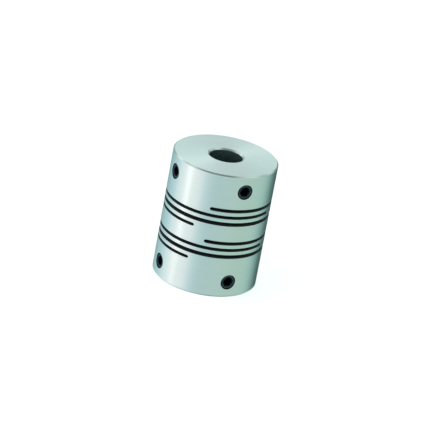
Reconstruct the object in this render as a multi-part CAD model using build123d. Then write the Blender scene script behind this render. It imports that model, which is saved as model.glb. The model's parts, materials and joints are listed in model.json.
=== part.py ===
from build123d import *
from math import cos, radians
import os

# Beam coupling for two 8 mm shafts: one slit aluminium body and four set screws. Millimetres.
# The origin is the middle of the coupling and +Z runs along the bore, towards the upper hub.
# The body is one piece of metal. It is divided here at its slits, so that it can flex:
# each slit leaves one web standing, and the stretches above and below it hinge on that web.

# Body
OUTER_DIAMETER = 25.0
LENGTH = 31.0
BORE_DIAMETER = 8.0
RIM_CHAMFER = 0.3
BORE_CHAMFER = 0.35

# Slits: both groups are the same, and are listed from a group's top to its bottom.
# Angles are in degrees from +X.
CENTRE_RING_HEIGHT = 2.4
BEAM_THICKNESS = 0.85
SLIT_WIDTHS = (0.85, 0.8, 0.95, 0.75)
WEB_ANGLES = (180, 0, 90, 270)
SLIT_END_FROM_AXIS = 7.7
SLIT_END_ROUNDING = 0.3

# Set screws, M4 x 6 with a cup point, two to a hub and 90 degrees apart. They are tapped in a
# second setting, which leaves them 3 degrees round from the webs. Their threads and the
# tapped holes are plain, at the pitch diameter, with a running gap between them.
SCREW_ANGLES = {"side": 177, "front": 267}
SCREW_FROM_END = 3.9
TAPPED_HOLE_DIAMETER = 3.55
SCREW_DIAMETER = 3.45
SCREW_LENGTH = 6.2
SCREW_SINK = 0.2
SCREW_TOP_CHAMFER = 0.2
SOCKET_ACROSS_FLATS = 2.0
SOCKET_DEPTH = 2.4
CUP_RIM_DIAMETER = 2.2
CUP_DIAMETER = 2.0
CUP_DEPTH = 0.55

OUTER_RADIUS = OUTER_DIAMETER / 2
BORE_RADIUS = BORE_DIAMETER / 2
BEAM_COUNT = len(SLIT_WIDTHS) - 1
GROUP_HEIGHT = sum(SLIT_WIDTHS) + BEAM_COUNT * BEAM_THICKNESS
HUB_HEIGHT = (LENGTH - CENTRE_RING_HEIGHT) / 2 - GROUP_HEIGHT


def turned(outline):
    """Solid turned about Z from a closed outline of (radius, height) points."""
    return revolve(Plane.XZ * make_face(Polyline(*outline, close=True)), Axis.Z)


def ring(bottom, top):
    """Full ring of the body between two heights, with the bore through it."""
    return turned([
        (BORE_RADIUS, bottom),
        (OUTER_RADIUS, bottom),
        (OUTER_RADIUS, top),
        (BORE_RADIUS, top),
    ])


def web(bottom, top, angle):
    """What a slit leaves standing: the part of the cylinder beyond the slit's rounded end."""
    start = SLIT_END_FROM_AXIS - SLIT_END_ROUNDING
    past_rim = OUTER_RADIUS + 1
    outline = [
        Line((start, bottom), (past_rim, bottom)),
        Line((past_rim, bottom), (past_rim, top)),
        Line((past_rim, top), (start, top)),
        ThreePointArc((start, top), (SLIT_END_FROM_AXIS, (bottom + top) / 2), (start, bottom)),
    ]
    block = extrude(Plane.XZ * make_face(outline), amount=OUTER_RADIUS, both=True)
    disc = turned([(0, bottom), (OUTER_RADIUS, bottom), (OUTER_RADIUS, top), (0, top)])
    return (block & disc).rotate(Axis.Z, angle)


def on_radius(radius, height, angle):
    """Location on one of the body's radii, with its own +Z pointing outwards."""
    return Location((0, 0, height), (0, 0, angle)) * Location((radius, 0, 0), (0, 90, 0))


def hub(side):
    """Hub, chamfered at its end face and tapped for its screws. side is 1 above, -1 below."""
    inner = side * (LENGTH / 2 - HUB_HEIGHT)
    end = side * LENGTH / 2
    body = turned([
        (BORE_RADIUS, inner),
        (OUTER_RADIUS, inner),
        (OUTER_RADIUS, end - side * RIM_CHAMFER),
        (OUTER_RADIUS - RIM_CHAMFER, end),
        (BORE_RADIUS + BORE_CHAMFER, end),
        (BORE_RADIUS, end - side * BORE_CHAMFER),
    ])
    base_up = (Align.CENTER, Align.CENTER, Align.MIN)
    drill = Cylinder(TAPPED_HOLE_DIAMETER / 2, OUTER_DIAMETER, align=base_up)
    for angle in SCREW_ANGLES.values():
        body -= on_radius(0, end - side * SCREW_FROM_END, angle) * drill
    return body


def set_screw():
    """Cup-point set screw along Z, its socket face at height 0 and its cup below."""
    radius = SCREW_DIAMETER / 2
    rim_radius = CUP_RIM_DIAMETER / 2
    shank = turned([
        (0, 0),
        (radius - SCREW_TOP_CHAMFER, 0),
        (radius, -SCREW_TOP_CHAMFER),
        (radius, radius - rim_radius - SCREW_LENGTH),
        (rim_radius, -SCREW_LENGTH),
        (CUP_DIAMETER / 2, -SCREW_LENGTH),
        (0, CUP_DEPTH - SCREW_LENGTH),
    ])
    corner_radius = SOCKET_ACROSS_FLATS / 2 / cos(radians(30))
    return shank - extrude(RegularPolygon(corner_radius, 6), amount=-SOCKET_DEPTH)


def save(shape, node):
    """Write one node's solid to parts/."""
    export_step(shape, f"parts/{node}.step")


def save_hub(name, side):
    """One hub and its set screws."""
    save(hub(side), f"{name}_hub")
    height = side * (LENGTH / 2 - SCREW_FROM_END)
    for place, angle in SCREW_ANGLES.items():
        screw = on_radius(OUTER_RADIUS - SCREW_SINK, height, angle) * set_screw()
        save(screw, f"{name}_{place}_set_screw")


def save_group(name, top):
    """One group of slits from its top down: the webs, and the beams between them."""
    level = top
    for number, (width, angle) in enumerate(zip(SLIT_WIDTHS, WEB_ANGLES), start=1):
        save(web(level - width, level, angle), f"{name}_web_{number}")
        level -= width
        if number <= BEAM_COUNT:
            save(ring(level - BEAM_THICKNESS, level), f"{name}_beam_{number}")
            level -= BEAM_THICKNESS


os.makedirs("parts", exist_ok=True)
save_hub("upper", 1)
save_group("upper", LENGTH / 2 - HUB_HEIGHT)
save(ring(-CENTRE_RING_HEIGHT / 2, CENTRE_RING_HEIGHT / 2), "centre_ring")
save_group("lower", -CENTRE_RING_HEIGHT / 2)
save_hub("lower", -1)
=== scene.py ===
import json
from math import acos, atan2, cos, pi, radians, sin, sqrt, tan

import bmesh
import bpy
from mathutils import Matrix, Vector

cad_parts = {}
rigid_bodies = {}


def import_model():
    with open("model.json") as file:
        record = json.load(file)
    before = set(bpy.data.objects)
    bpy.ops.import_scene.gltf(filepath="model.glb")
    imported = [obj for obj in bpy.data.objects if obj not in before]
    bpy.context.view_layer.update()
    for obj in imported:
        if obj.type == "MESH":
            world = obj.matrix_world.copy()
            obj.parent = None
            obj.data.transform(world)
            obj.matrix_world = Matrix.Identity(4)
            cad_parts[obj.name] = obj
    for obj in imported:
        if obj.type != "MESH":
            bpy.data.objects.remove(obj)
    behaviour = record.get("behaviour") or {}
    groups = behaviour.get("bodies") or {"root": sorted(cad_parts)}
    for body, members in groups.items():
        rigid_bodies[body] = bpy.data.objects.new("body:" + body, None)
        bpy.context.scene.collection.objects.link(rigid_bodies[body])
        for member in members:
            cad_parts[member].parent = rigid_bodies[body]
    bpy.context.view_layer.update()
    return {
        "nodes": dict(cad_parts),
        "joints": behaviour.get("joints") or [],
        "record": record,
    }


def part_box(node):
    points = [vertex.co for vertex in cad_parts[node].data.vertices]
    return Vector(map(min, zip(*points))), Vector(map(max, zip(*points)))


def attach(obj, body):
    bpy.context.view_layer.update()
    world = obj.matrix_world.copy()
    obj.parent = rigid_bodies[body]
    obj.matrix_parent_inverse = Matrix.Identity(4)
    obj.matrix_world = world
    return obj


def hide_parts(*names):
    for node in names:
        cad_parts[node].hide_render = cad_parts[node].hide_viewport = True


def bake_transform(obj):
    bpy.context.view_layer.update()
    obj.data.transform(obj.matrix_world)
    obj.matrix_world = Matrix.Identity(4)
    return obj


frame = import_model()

# Meshes are built in millimetres and turned into metres when they are finished.
# Angles are in radians, except in the tables of lights, which are in degrees.
METRES = 0.001
PER_METRE = 1000

GROUPS = ("upper", "lower")
SLITS = (1, 2, 3, 4)
SCREW_JOINTS = [joint for joint in frame["joints"] if joint["type"] == "slide"]


def box(node):
    """(lowest, highest) corner of a CAD node, in millimetres."""
    return [corner * PER_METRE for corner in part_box(node)]


# Sizes from the frame
BORE_RADIUS = next(m["dims"]["r_mm"] for m in frame["record"]["mounts"] if m["kind"] == "bore")
OUTER_RADIUS = box("centre_ring")[1].x
END_HEIGHT = box("upper_hub")[1].z

# Sizes that the frame doesn't state. Body:
SLIT_END_FROM_AXIS = 7.7
SLIT_END_ROUNDING = 0.3
RIM_CHAMFER = 0.3
BORE_CHAMFER = 0.35
EDGE_BREAK = 0.02
NO_EDGE_BREAK = 0.001
EDGE_BREAK_FADE = radians(2)

# M4 threads, their crests cut back. Roots and crests are radii, and the hole's are its cutter's.
# The places in a pitch where a thread is flat are shares of the pitch.
PITCH = 0.7
ROOT_FLAT_END = 0.2
CREST_FLAT_START, CREST_FLAT_END = 0.53, 0.67
HOLE_ROOT, HOLE_CREST = 1.62, 1.91
SCREW_ROOT, SCREW_CREST = 1.53, 1.82
HOLE_MOUTH_RADIUS = 1.87
HOLE_MOUTH_DEPTH = 0.4

# Set screws
SCREW_FACE_RADIUS = 1.62
SOCKET_ACROSS_FLATS = 2.0
SOCKET_DEPTH = 2.4
SOCKET_LEAD = 0.25
LEAD_RADIUS = 1.27
DRILL_RADIUS = 0.95
DRILL_POINT = 0.5
CUP_RIM_RADIUS = 1.1
CUP_RADIUS = 1.0
CUP_DEPTH = 0.55

# How finely the meshes are made
BODY_SEGMENTS = 360
WEB_ARC_POINTS, WEB_CHORD_POINTS, WEB_ROWS = 104, 24, 12
THREAD_SEGMENTS = 72
SMALLEST_EDGE = 0.0005
ON_PLANE = 1e-6
SHARP_ANGLE = radians(30)

# How far cutters run past what they cut, how far they overlap each other, and the tiny flat at the
# end of a turned point
PAST = 1.1
OVERLAP = 0.1
POINT_RADIUS = 0.02


# Meshes

def new_object(name, data):
    """An object in the scene."""
    thing = bpy.data.objects.new(name, data)
    bpy.context.scene.collection.objects.link(thing)
    return thing


def mesh_object(name, bm):
    """An object from a bmesh, which is freed."""
    mesh = bpy.data.meshes.new(name)
    bmesh.ops.recalc_face_normals(bm, faces=bm.faces)
    bm.to_mesh(mesh)
    bm.free()
    return new_object(name, mesh)


def combine(thing, other, operation):
    """Boolean of two closed objects, kept in the first. The second is removed."""
    modifier = thing.modifiers.new("boolean", "BOOLEAN")
    modifier.object = other
    modifier.operation = operation
    modifier.solver = "MANIFOLD"
    depsgraph = bpy.context.evaluated_depsgraph_get()
    result = bpy.data.meshes.new_from_object(thing.evaluated_get(depsgraph))
    thing.modifiers.clear()
    bm = bmesh.new()
    bm.from_mesh(result)
    bmesh.ops.dissolve_degenerate(bm, dist=SMALLEST_EDGE, edges=bm.edges)
    bm.to_mesh(result)
    bm.free()
    thing.data = result
    bpy.data.objects.remove(other)


def close_ends(bm):
    """Fills the open ends of a tube with flat faces."""
    bmesh.ops.holes_fill(bm, edges=[edge for edge in bm.edges if edge.is_boundary], sides=0)


def wrapped(outlines, closed):
    """bmesh of outlines set side by side round a loop. A closed outline joins its ends too."""
    bm = bmesh.new()
    columns = [[bm.verts.new(point) for point in outline] for outline in outlines]
    for here, following in zip(columns, columns[1:] + columns[:1]):
        for i in range(len(here) if closed else len(here) - 1):
            j = (i + 1) % len(here)
            bm.faces.new((here[i], following[i], following[j], here[j]))
    return bm


def around(radius, height, angle):
    """Point at a radius, height and angle about Z."""
    return Vector((radius * cos(angle), radius * sin(angle), height))


def turned_solid(outline, segments):
    """bmesh of an open outline of (radius, height) points turned about Z, its ends closed."""
    angles = [2 * pi * i / segments for i in range(segments)]
    bm = wrapped([[around(r, z, a) for r, z in outline] for a in angles], closed=False)
    close_ends(bm)
    return bm


# The body's rings and webs

def web_angle(node):
    """Direction of a web from the axis."""
    low, high = box(node)
    return atan2(low.y + high.y, low.x + high.x)


def edge_break(angle, web):
    """Size of a ring's broken edge at an angle. It fades out where a web runs into the ring."""
    if web is None:
        return EDGE_BREAK
    half_web = acos((SLIT_END_FROM_AXIS - SLIT_END_ROUNDING) / OUTER_RADIUS)
    past_web = abs((angle - web + pi) % (2 * pi) - pi) - half_web
    share = min(max(past_web / EDGE_BREAK_FADE, 0), 1)
    return NO_EDGE_BREAK + share * (EDGE_BREAK - NO_EDGE_BREAK)


def body_ring(node, web_below, web_above, end):
    """A full ring of the body, its edges broken, with an end face at its top (1) or bottom (-1)."""
    low, high = (corner.z for corner in box(node))
    bore_below = BORE_CHAMFER if end < 0 else EDGE_BREAK
    bore_above = BORE_CHAMFER if end > 0 else EDGE_BREAK
    outlines = []
    for i in range(BODY_SEGMENTS):
        angle = 2 * pi * i / BODY_SEGMENTS
        below = RIM_CHAMFER if end < 0 else edge_break(angle, web_below)
        above = RIM_CHAMFER if end > 0 else edge_break(angle, web_above)
        outline = [
            (OUTER_RADIUS, low + below),
            (OUTER_RADIUS, high - above),
            (OUTER_RADIUS - above, high),
            (BORE_RADIUS + bore_above, high),
            (BORE_RADIUS, high - bore_above),
            (BORE_RADIUS, low + bore_below),
            (BORE_RADIUS + bore_below, low),
            (OUTER_RADIUS - below, low),
        ]
        outlines.append([around(radius, height, angle) for radius, height in outline])
    return mesh_object(f"{node}_turned", wrapped(outlines, closed=True))


def web_outline(angle, height, slit_end):
    """Outline of a web at a height: an arc of the rim and the straight line of the slit's end."""
    half = acos(slit_end / OUTER_RADIUS)
    half_chord = slit_end * tan(half)
    turn = Matrix.Rotation(angle, 3, "Z")
    along = [half * (2 * i / WEB_ARC_POINTS - 1) for i in range(WEB_ARC_POINTS)]
    across = [half_chord * (1 - 2 * i / WEB_CHORD_POINTS) for i in range(WEB_CHORD_POINTS)]
    arc = [around(OUTER_RADIUS, height, angle + a) for a in along]
    return arc + [turn @ Vector((slit_end, y, height)) for y in across]


def body_web(node):
    """The web a slit leaves standing, bounded by the rim and the slit's rounded end."""
    angle = web_angle(node)
    low, high = (corner.z for corner in box(node))
    half_width = (high - low) / 2
    arc_radius = (half_width**2 + SLIT_END_ROUNDING**2) / (2 * SLIT_END_ROUNDING)
    outlines = []
    for row in range(WEB_ROWS + 1):
        above_middle = -half_width * cos(pi * row / WEB_ROWS)
        slit_end = SLIT_END_FROM_AXIS - arc_radius + sqrt(arc_radius**2 - above_middle**2)
        outlines.append(web_outline(angle, low + half_width + above_middle, slit_end))
    bm = wrapped(list(zip(*outlines)), closed=False)
    close_ends(bm)
    return mesh_object(f"{node}_machined", bm)


# Threads and set screws

def thread(root, crest, start, end):
    """bmesh of a threaded rod along Z. The thread comes round again after one pitch."""
    profile = ((0, root), (ROOT_FLAT_END, root), (CREST_FLAT_START, crest), (CREST_FLAT_END, crest))
    turns = range(int(start / PITCH) - 2, int(end / PITCH) + 3)
    bm = bmesh.new()
    columns = []
    for i in range(THREAD_SEGMENTS):
        part = i / THREAD_SEGMENTS
        points = [
            around(radius, (turn + part + share) * PITCH, 2 * pi * part)
            for turn in turns for share, radius in profile
        ]
        columns.append([bm.verts.new(point) for point in points])
    columns.append(columns[0][len(profile):])
    for here, following in zip(columns, columns[1:]):
        for i in range(min(len(here), len(following)) - 1):
            bm.faces.new((here[i], following[i], following[i + 1], here[i + 1]))
    for height, side in ((start, -1), (end, 1)):
        everything = bm.verts[:] + bm.edges[:] + bm.faces[:]
        plane = {"plane_co": (0, 0, height), "plane_no": (0, 0, side), "dist": ON_PLANE}
        bmesh.ops.bisect_plane(bm, geom=everything, clear_outer=True, **plane)
    close_ends(bm)
    return bm


def screw_place(joint):
    """Transform that lays Z along a set screw's axis, outwards from the middle of the body."""
    low, high = box(joint["child"])
    up, outwards = Vector((0, 0, 1)), Vector(joint["axis"])
    turn = Matrix((up.cross(outwards), up, outwards)).transposed()
    return Matrix.Translation((0, 0, (low.z + high.z) / 2)) @ turn.to_4x4()


def screw_reach(joint):
    """How far a set screw's cup and its socket face are from the body's axis."""
    outwards = Vector(joint["axis"])
    vertices = frame["nodes"][joint["child"]].data.vertices
    along = [vertex.co.dot(outwards) * PER_METRE for vertex in vertices]
    return min(along), max(along)


def tapped_hole(joint):
    """Cutter for a tapped hole: its thread, and the plain length at its mouth."""
    bottom = OUTER_RADIUS - HOLE_MOUTH_DEPTH
    cutter = mesh_object("tap", thread(HOLE_ROOT, HOLE_CREST, BORE_RADIUS - PITCH, bottom))
    inside = HOLE_ROOT - OVERLAP
    mouth = [
        (inside, bottom - HOLE_MOUTH_RADIUS + inside),
        (HOLE_MOUTH_RADIUS, bottom),
        (HOLE_MOUTH_RADIUS, OUTER_RADIUS + PAST),
    ]
    combine(cutter, mesh_object("mouth", turned_solid(mouth, THREAD_SEGMENTS + 1)), "UNION")
    cutter.data.transform(screw_place(joint))
    return cutter


def hexagon(across_flats, bottom, top):
    """bmesh of a hexagonal prism."""
    corner = across_flats / 2 / cos(pi / 6)
    edges = [[around(corner, z, pi * i / 3) for z in (bottom, top)] for i in range(6)]
    bm = wrapped(edges, closed=False)
    close_ends(bm)
    return bm


def set_screw(joint):
    """A set screw with its thread, hexagon socket and cup point."""
    tip, face = screw_reach(joint)
    past_crest = SCREW_CREST + OVERLAP
    envelope = [
        (POINT_RADIUS, tip + CUP_DEPTH),
        (CUP_RADIUS, tip),
        (CUP_RIM_RADIUS, tip),
        (past_crest, tip + past_crest - CUP_RIM_RADIUS),
        (past_crest, face - past_crest + SCREW_FACE_RADIUS),
        (SCREW_FACE_RADIUS, face),
    ]
    bottom = face - SOCKET_DEPTH
    drill = [(POINT_RADIUS, bottom - DRILL_POINT), (DRILL_RADIUS, bottom), (DRILL_RADIUS, bottom + OVERLAP)]
    lead = [(DRILL_RADIUS, face - SOCKET_LEAD), (LEAD_RADIUS, face), (LEAD_RADIUS, face + PAST)]
    rod = mesh_object("rod", thread(SCREW_ROOT, SCREW_CREST, tip - PAST, face + PAST))
    screw = mesh_object(f"{joint['child']}_threaded", turned_solid(envelope, THREAD_SEGMENTS + 1))
    socket = mesh_object("socket", hexagon(SOCKET_ACROSS_FLATS, bottom, face + PAST))
    combine(screw, rod, "INTERSECT")
    combine(screw, socket, "DIFFERENCE")
    for outline in (drill, lead):
        combine(screw, mesh_object("cone", turned_solid(outline, THREAD_SEGMENTS - 1)), "DIFFERENCE")
    screw.data.transform(screw_place(joint))
    return screw


# Materials. Noise scales are per metre, and colours are red, green and blue.

GROOVE_SCALE, BAND_SCALE, HANDLING_SCALE = 16000.0, 1800.0, 260.0
BAND_SHADES = (0.96, 1.03)
TURNED_GLOSS_SPREAD = 0.03
ANISOTROPY = 0.75
ACROSS_THE_GROOVES = 0.25
MOTTLE_RANGE = (0.3, 0.7)
MOTTLED_GLOSS_SPREAD = 0.08
BUMP_DISTANCE = 0.00002

# Places of the Mix node's colour sockets
MIX_FIRST, MIX_SECOND, MIX_RESULT = 6, 7, 2


def new_material(name):
    """A node material: (material, its node tree, its shader node)."""
    material = bpy.data.materials.new(name)
    material.use_nodes = True
    tree = material.node_tree
    return material, tree, tree.nodes["Principled BSDF"]


def add(tree, kind, **values):
    """A node with its properties, or its inputs by name, set."""
    node = tree.nodes.new(kind)
    for key, value in values.items():
        if hasattr(node, key):
            setattr(node, key, value)
        else:
            node.inputs[key.replace("_", " ")].default_value = value
    return node


def maths(tree, operation, first, second=0):
    """Output of a Math node on two values, each a number or a socket."""
    node = add(tree, "ShaderNodeMath", operation=operation)
    for socket, value in zip(node.inputs, (first, second)):
        if isinstance(value, (int, float)):
            socket.default_value = value
        else:
            tree.links.new(value, socket)
    return node.outputs[0]


def noise(tree, value, socket, **settings):
    """Output of a Noise node read at a value."""
    node = add(tree, "ShaderNodeTexNoise", **settings)
    tree.links.new(value, node.inputs[socket])
    return node.outputs[0]


def spread(tree, value, low, high):
    """A 0 to 1 value stretched from low to high."""
    node = add(tree, "ShaderNodeMapRange", To_Min=low, To_Max=high)
    tree.links.new(value, node.inputs[0])
    return node.outputs[0]


def multiplied(tree, first, second):
    """Product of two colours, each a colour or a socket."""
    node = add(tree, "ShaderNodeMix", data_type="RGBA", blend_type="MULTIPLY")
    node.inputs["Factor"].default_value = 1
    for place, value in ((MIX_FIRST, first), (MIX_SECOND, second)):
        socket = node.inputs[place]
        if isinstance(value, tuple):
            socket.default_value = (*value, 1)
        else:
            tree.links.new(value, socket)
    return node.outputs[MIX_RESULT]


def bumpy(tree, shader, height, strength):
    """Gives a shader a bump from a height value."""
    node = add(tree, "ShaderNodeBump", Strength=strength, Distance=BUMP_DISTANCE)
    tree.links.new(height, node.inputs["Height"])
    tree.links.new(node.outputs[0], shader.inputs["Normal"])


def turned_metal(name, colour, roughness, groove_strength):
    """Turned aluminium: fine grooves round the axis, and gloss that stretches across them."""
    material, tree, shader = new_material(name)
    link = tree.links.new
    place = add(tree, "ShaderNodeTexCoord").outputs["Object"]
    parts = add(tree, "ShaderNodeSeparateXYZ")
    link(place, parts.inputs[0])
    x, y, z = parts.outputs
    # Radius plus height grows across the grooves, both on the side and on the end faces
    squares = maths(tree, "ADD", maths(tree, "MULTIPLY", x, x), maths(tree, "MULTIPLY", y, y))
    across = maths(tree, "ADD", maths(tree, "SQRT", squares), z)
    grooves = noise(tree, across, "W", noise_dimensions="1D", Scale=GROOVE_SCALE, Detail=3.0)
    bumpy(tree, shader, grooves, groove_strength)
    bands = noise(tree, across, "W", noise_dimensions="1D", Scale=BAND_SCALE, Detail=2.0)
    link(multiplied(tree, colour, spread(tree, bands, *BAND_SHADES)), shader.inputs["Base Color"])
    handling = noise(tree, place, "Vector", Scale=HANDLING_SCALE, Detail=4.0, Roughness=0.55)
    smoothest, roughest = roughness - TURNED_GLOSS_SPREAD, roughness + TURNED_GLOSS_SPREAD
    link(spread(tree, handling, smoothest, roughest), shader.inputs["Roughness"])
    shader.inputs["Metallic"].default_value = 1
    shader.inputs["Anisotropic"].default_value = ANISOTROPY
    shader.inputs["Anisotropic Rotation"].default_value = ACROSS_THE_GROOVES
    tangent = add(tree, "ShaderNodeTangent", direction_type="RADIAL", axis="Z")
    link(tangent.outputs[0], shader.inputs["Tangent"])
    return material


def mottled_metal(name, dark, light, roughness, scale, bump):
    """Metal whose colour and gloss vary in a fine mottle, such as a sawn or blackened face."""
    material, tree, shader = new_material(name)
    place = add(tree, "ShaderNodeTexCoord").outputs["Object"]
    mottle = noise(tree, place, "Vector", Scale=scale, Detail=5.0, Roughness=0.6)
    ramp = add(tree, "ShaderNodeValToRGB")
    for element, position, colour in zip(ramp.color_ramp.elements, MOTTLE_RANGE, (dark, light)):
        element.position = position
        element.color = (*colour, 1)
    tree.links.new(mottle, ramp.inputs[0])
    tree.links.new(ramp.outputs[0], shader.inputs["Base Color"])
    smoothest, roughest = roughness - MOTTLED_GLOSS_SPREAD, roughness + MOTTLED_GLOSS_SPREAD
    tree.links.new(spread(tree, mottle, smoothest, roughest), shader.inputs["Roughness"])
    bumpy(tree, shader, mottle, bump)
    shader.inputs["Metallic"].default_value = 1
    return material


def floor_paint(name, colour, glow):
    """Plain matt paint that can glow."""
    material, tree, shader = new_material(name)
    shader.inputs["Base Color"].default_value = (*colour, 1)
    shader.inputs["Roughness"].default_value = 0.9
    shader.inputs["Specular IOR Level"].default_value = 0
    shader.inputs["Emission Color"].default_value = (1, 1, 1, 1)
    shader.inputs["Emission Strength"].default_value = glow
    return material


# The finish of a face of the body is the place of its material in the body's list. The bore's and the
# tapped holes' materials are darkened with painted shade.
TURNED, SAWN, SHADED_BORE, SHADED_TAPPING = range(4)
FINISH_MARGIN = 0.01
TAPPED_MARGIN = 0.3


def body_finish(face, to_holes):
    """Finish of a face of the body, from where it is."""
    radius = face.center.xy.length
    if radius > OUTER_RADIUS - EDGE_BREAK or abs(face.center.z) > END_HEIGHT - BORE_CHAMFER:
        return TURNED
    if radius < BORE_RADIUS + FINISH_MARGIN:
        return SHADED_BORE
    for to_hole in to_holes:
        place = to_hole @ face.center
        if place.z > 0 and place.xy.length < HOLE_CREST + TAPPED_MARGIN:
            return SHADED_TAPPING
    return SAWN


# The same for a set screw. Its flat round the socket, painted lighter as a painted highlight, is told by
# the cosine of its lean and by its depth.
BLACK, HIGHLIT_FLAT = range(2)
FLAT_COSINE = 0.95
FLAT_DEPTH = 0.05


def screw_finish(face, joint, face_height):
    """Finish of a face of a set screw: the flat round its socket is painted lighter, a painted highlight.
    """
    outwards = Vector(joint["axis"])
    upright = face.normal.dot(outwards) > FLAT_COSINE
    return HIGHLIT_FLAT if upright and face.center.dot(outwards) > face_height - FLAT_DEPTH else BLACK


def finish(piece, materials, choose):
    """Finishes a mesh: a material for each face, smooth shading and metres."""
    mesh = piece.data
    mesh.materials.clear()
    for material in materials:
        mesh.materials.append(material)
    for face in mesh.polygons:
        face.material_index = choose(face)
    mesh.shade_smooth()
    mesh.set_sharp_from_angle(angle=SHARP_ANGLE)
    mesh.transform(Matrix.Scale(METRES, 4))


# The object

def body_metals():
    """The body's four materials, in the order of their names above. The bored and tapped ones are darkened
    with painted shade.
    """
    return (
        # Its green-blue tint is partly the metal's own colour and partly painted reflection of the studio's
        # tint.
        turned_metal("turned_aluminium", (0.80, 0.90, 0.885), 0.32, 0.35),
        mottled_metal("sawn_aluminium", (0.14, 0.17, 0.18), (0.26, 0.30, 0.31), 0.6, 2500.0, 0.4),
        # The bore's metal is darkened with painted shade, for the shade deep inside the bore.
        mottled_metal("shade_darkened_bore", (0.17, 0.26, 0.265), (0.27, 0.39, 0.395), 0.45, 1800.0, 0.3),
        # The tapped holes' metal is near black: painted shade, for the shade inside the holes.
        mottled_metal("shade_darkened_tapping", (0.020, 0.026, 0.028), (0.045, 0.055, 0.060), 0.5, 2500.0, 0.3),
    )


def screw_steels():
    """The set screws' two materials: black oxide, and a lighter copy of it with a painted highlight."""
    return (
        mottled_metal("black_oxide", (0.008, 0.012, 0.016), (0.018, 0.026, 0.034), 0.42, 1500.0, 0.25),
        # A lighter copy of the black oxide for the flat round the socket: a painted highlight.
        mottled_metal("highlit_oxide", (0.041, 0.068, 0.096), (0.078, 0.115, 0.152), 0.45, 1500.0, 0.25),
    )


def webs_of_rings():
    """For each full ring of the body: its webs' angles below and above, and which end face it has."""
    webs = {(group, slit): web_angle(f"{group}_web_{slit}") for group in GROUPS for slit in SLITS}
    rings = {
        "upper_hub": (webs["upper", 1], None, 1),
        "centre_ring": (webs["lower", 1], webs["upper", 4], 0),
        "lower_hub": (None, webs["lower", 4], -1),
    }
    for group in GROUPS:
        for beam in SLITS[:-1]:
            rings[f"{group}_beam_{beam}"] = (webs[group, beam + 1], webs[group, beam], 0)
    return rings


def build_rings(metals):
    """Hubs, beams and centre ring, each riding on its own CAD body."""
    for node, (web_below, web_above, end) in webs_of_rings().items():
        piece = body_ring(node, web_below, web_above, end)
        screws = [joint for joint in SCREW_JOINTS if joint["parent"] == node]
        for joint in screws:
            combine(piece, tapped_hole(joint), "DIFFERENCE")
        to_holes = [screw_place(joint).inverted() for joint in screws]
        finish(piece, metals, lambda face: body_finish(face, to_holes))
        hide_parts(node)
        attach(piece, node)


def build_webs(metals):
    """Webs, each between the bodies below and above it."""
    for joint in frame["joints"]:
        for deforming in joint.get("deforming_nodes", ()):
            node = deforming["node"]
            piece = body_web(node)
            finish(piece, metals, lambda face: body_finish(face, ()))
            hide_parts(node)
            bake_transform(piece)


def build_screws(steels):
    """The four set screws."""
    for joint in SCREW_JOINTS:
        face_height = screw_reach(joint)[1]
        piece = set_screw(joint)
        finish(piece, steels, lambda face: screw_finish(face, joint, face_height))
        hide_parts(joint["child"])
        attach(piece, joint["child"])


# Stage, lights and camera

VIEW_AZIMUTH = radians(-31.35)
VIEW_ELEVATION = radians(22.98)
VIEW_ROLL = radians(10.63)
VIEW_DISTANCE = 0.629
LENS = 222.4
SENSOR_WIDTH = 36
CLIP_START, CLIP_END = 0.01, 20

# Sizes of the floor in metres, and the shade's height above it
FLOOR_HALF_WIDTH = 6
SHADE_LIFT = 0.00001
SHADE_SEGMENTS = 96

# Softboxes: azimuth and elevation in degrees, distance, width and height in metres, and watts
SOFTBOXES = {
    "left_softbox": (-70, 14, 0.5, 0.12, 0.5, 0.26),
    "glint_softbox": (-120, 30, 0.6, 0.2, 0.2, 0.09),
    "far_softbox": (127, 26, 0.6, 0.2, 0.2, 0.06),
    "rear_softbox": (-158, 45, 0.6, 0.2, 0.2, 0.145),
    "right_softbox": (80, 55, 0.6, 0.45, 0.3, 0.20),
    "overhead_softbox": (0, 88, 0.8, 0.7, 0.7, 1.0),
}
LEFT_SOFTBOX_COLOUR = (1.0, 0.90, 0.88)


def towards(azimuth, elevation):
    """Unit vector from the object: azimuth 0 is the camera's side, and it grows to the right."""
    turn = VIEW_AZIMUTH + azimuth
    return Vector((sin(turn) * cos(elevation), -cos(turn) * cos(elevation), sin(elevation)))


def facing_back(azimuth, elevation, distance):
    """Transform of a camera or a light that looks at the object from a direction."""
    back = towards(azimuth, elevation)
    return Matrix.Translation(back * distance) @ back.to_track_quat("Z", "Y").to_matrix().to_4x4()


def add_camera():
    """Camera above the object, rolled so that the object leans."""
    data = bpy.data.cameras.new("camera")
    data.lens = LENS
    data.sensor_width = SENSOR_WIDTH
    data.clip_start, data.clip_end = CLIP_START, CLIP_END
    camera = new_object("camera", data)
    place = facing_back(0, VIEW_ELEVATION, VIEW_DISTANCE)
    camera.matrix_world = place @ Matrix.Rotation(VIEW_ROLL, 4, "Z")
    bpy.context.scene.camera = camera


def add_softbox(name, azimuth, elevation, distance, width, height, watts):
    """A rectangular area light that faces the object, with its direction in degrees."""
    data = bpy.data.lights.new(name, "AREA")
    data.shape = "RECTANGLE"
    data.size, data.size_y = width, height
    data.energy = watts
    light = new_object(name, data)
    light.matrix_world = facing_back(radians(azimuth), radians(elevation), distance)
    return light


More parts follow.
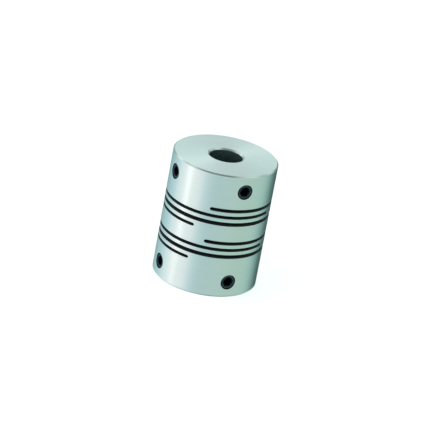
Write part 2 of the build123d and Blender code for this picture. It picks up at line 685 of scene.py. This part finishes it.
def add_floor():
    """A wide pale floor that the metal doesn't mirror, with the shade that fills the bore's end."""
    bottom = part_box("lower_hub")[0].z
    bm = bmesh.new()
    bmesh.ops.create_grid(bm, x_segments=1, y_segments=1, size=FLOOR_HALF_WIDTH)
    floor = mesh_object("floor", bm)
    floor.data.materials.append(floor_paint("pale_floor", (0.86, 0.86, 0.86), 0.56))
    floor.visible_glossy = False
    bm = bmesh.new()
    shade_radius = (BORE_RADIUS + BORE_CHAMFER / 2) * METRES
    bmesh.ops.create_circle(bm, cap_ends=True, segments=SHADE_SEGMENTS, radius=shade_radius)
    shade = mesh_object("shade_in_bore", bm)
    shade.data.materials.append(floor_paint("shaded_floor", (0.03, 0.04, 0.04), 0))
    for thing, height in ((floor, bottom), (shade, bottom + SHADE_LIFT)):
        thing.data.transform(Matrix.Translation((0, 0, height)))


def ramp_of(tree, value, stops):
    """Colours over an angle. A stop is its degrees and green, then red and blue as shares of green."""
    low, high = radians(stops[0][0]), radians(stops[-1][0])
    share = add(tree, "ShaderNodeMapRange")
    share.inputs["From Min"].default_value = low
    share.inputs["From Max"].default_value = high
    tree.links.new(value, share.inputs[0])
    ramp = add(tree, "ShaderNodeValToRGB")
    ramp.color_ramp.interpolation = "B_SPLINE"
    elements = ramp.color_ramp.elements
    while len(elements) < len(stops):
        elements.new(1)
    for element, (degrees, green, *shares) in zip(elements, stops):
        red, blue = shares or (1, 1)
        element.position = (radians(degrees) - low) / (high - low)
        element.color = (green * red, green, green * blue, 1)
    tree.links.new(share.outputs[0], ramp.inputs[0])
    return ramp.outputs[0]


# The studio's light by azimuth from the camera, below the object and above it
STUDIO_LOW = (
    (-180, 0.06, 0.60, 1.02),
    (-165, 0.30, 0.60, 1.02),
    (-150, 0.60, 0.62, 1.03),
    (-112, 0.78, 0.76, 1.08),
    (-90, 1.15, 0.92, 1.02),
    (-72, 2.90, 1.16, 0.98),
    (-52, 1.08, 0.98, 1.01),
    (-32, 0.76, 0.82, 1.04),
    (-10, 0.64, 0.75, 1.01),
    (15, 0.68, 0.80, 0.96),
    (50, 0.67, 0.76, 0.87),
    (80, 0.63, 0.76, 0.85),
    (100, 0.72, 0.72, 0.87),
    (125, 0.42, 0.54, 0.93),
    (138, 0.11, 0.50, 0.92),
    (152, 0.10, 0.35, 0.88),
    (166, 0.08, 0.35, 0.88),
    (180, 0.06, 0.60, 1.02),
)
STUDIO_HIGH = (
    (-180, 1.22, 0.83, 0.97),
    (-165, 0.57, 0.83, 0.97),
    (-150, 0.31, 0.83, 0.97),
    (-120, 0.60, 0.83, 0.98),
    (-72, 0.90, 0.94, 0.99),
    (-20, 0.78, 0.80, 0.98),
    (60, 0.72, 0.78, 0.92),
    (120, 0.50, 0.80, 0.96),
    (150, 0.22, 0.82, 0.96),
    (165, 0.50, 0.83, 0.97),
    (180, 1.22, 0.83, 0.97),
)
# The same by elevation: the share of the light above, then the brightness
STUDIO_SHARE = ((-90, 0), (-4, 0), (8, 1), (90, 1))
STUDIO_LEVEL = (
    (-90, 0.50),
    (-50, 1.00),
    (50, 1.00),
    (61, 0.00),
    (68, 0.00),
    (76, 0.05),
    (83, 0.60),
    (90, 0.80),
)


def add_surroundings():
    """The studio round the object: pale, brightest on the left and dark overhead."""
    world = bpy.data.worlds.new("studio")
    bpy.context.scene.world = world
    world.use_nodes = True
    tree = world.node_tree
    link = tree.links.new
    turn = add(tree, "ShaderNodeVectorRotate", rotation_type="Z_AXIS", Angle=pi / 2 - VIEW_AZIMUTH)
    link(add(tree, "ShaderNodeTexCoord").outputs["Generated"], turn.inputs["Vector"])
    parts = add(tree, "ShaderNodeSeparateXYZ")
    link(turn.outputs[0], parts.inputs[0])
    azimuth = maths(tree, "ARCTAN2", parts.outputs[1], parts.outputs[0])
    elevation = maths(tree, "ARCSINE", parts.outputs[2])
    walls = add(tree, "ShaderNodeMix", data_type="RGBA")
    link(ramp_of(tree, elevation, STUDIO_SHARE), walls.inputs["Factor"])
    link(ramp_of(tree, azimuth, STUDIO_LOW), walls.inputs[MIX_FIRST])
    link(ramp_of(tree, azimuth, STUDIO_HIGH), walls.inputs[MIX_SECOND])
    studio = multiplied(tree, walls.outputs[MIX_RESULT], ramp_of(tree, elevation, STUDIO_LEVEL))
    rays = add(tree, "ShaderNodeLightPath")
    seen = add(tree, "ShaderNodeMix", data_type="RGBA")
    link(rays.outputs["Is Camera Ray"], seen.inputs["Factor"])
    link(studio, seen.inputs[MIX_FIRST])
    seen.inputs[MIX_SECOND].default_value = (1, 1, 1, 1)
    link(seen.outputs[MIX_RESULT], tree.nodes["Background"].inputs["Color"])


def build_stage():
    """Camera, floor, surroundings and lights."""
    bpy.context.scene.view_settings.view_transform = "Standard"
    add_camera()
    add_floor()
    add_surroundings()
    lights = {name: add_softbox(name, *values) for name, values in SOFTBOXES.items()}
    lights["left_softbox"].data.color = LEFT_SOFTBOX_COLOUR
    lights["overhead_softbox"].visible_glossy = False


metals = body_metals()
build_rings(metals)
build_webs(metals)
build_screws(screw_steels())
build_stage()
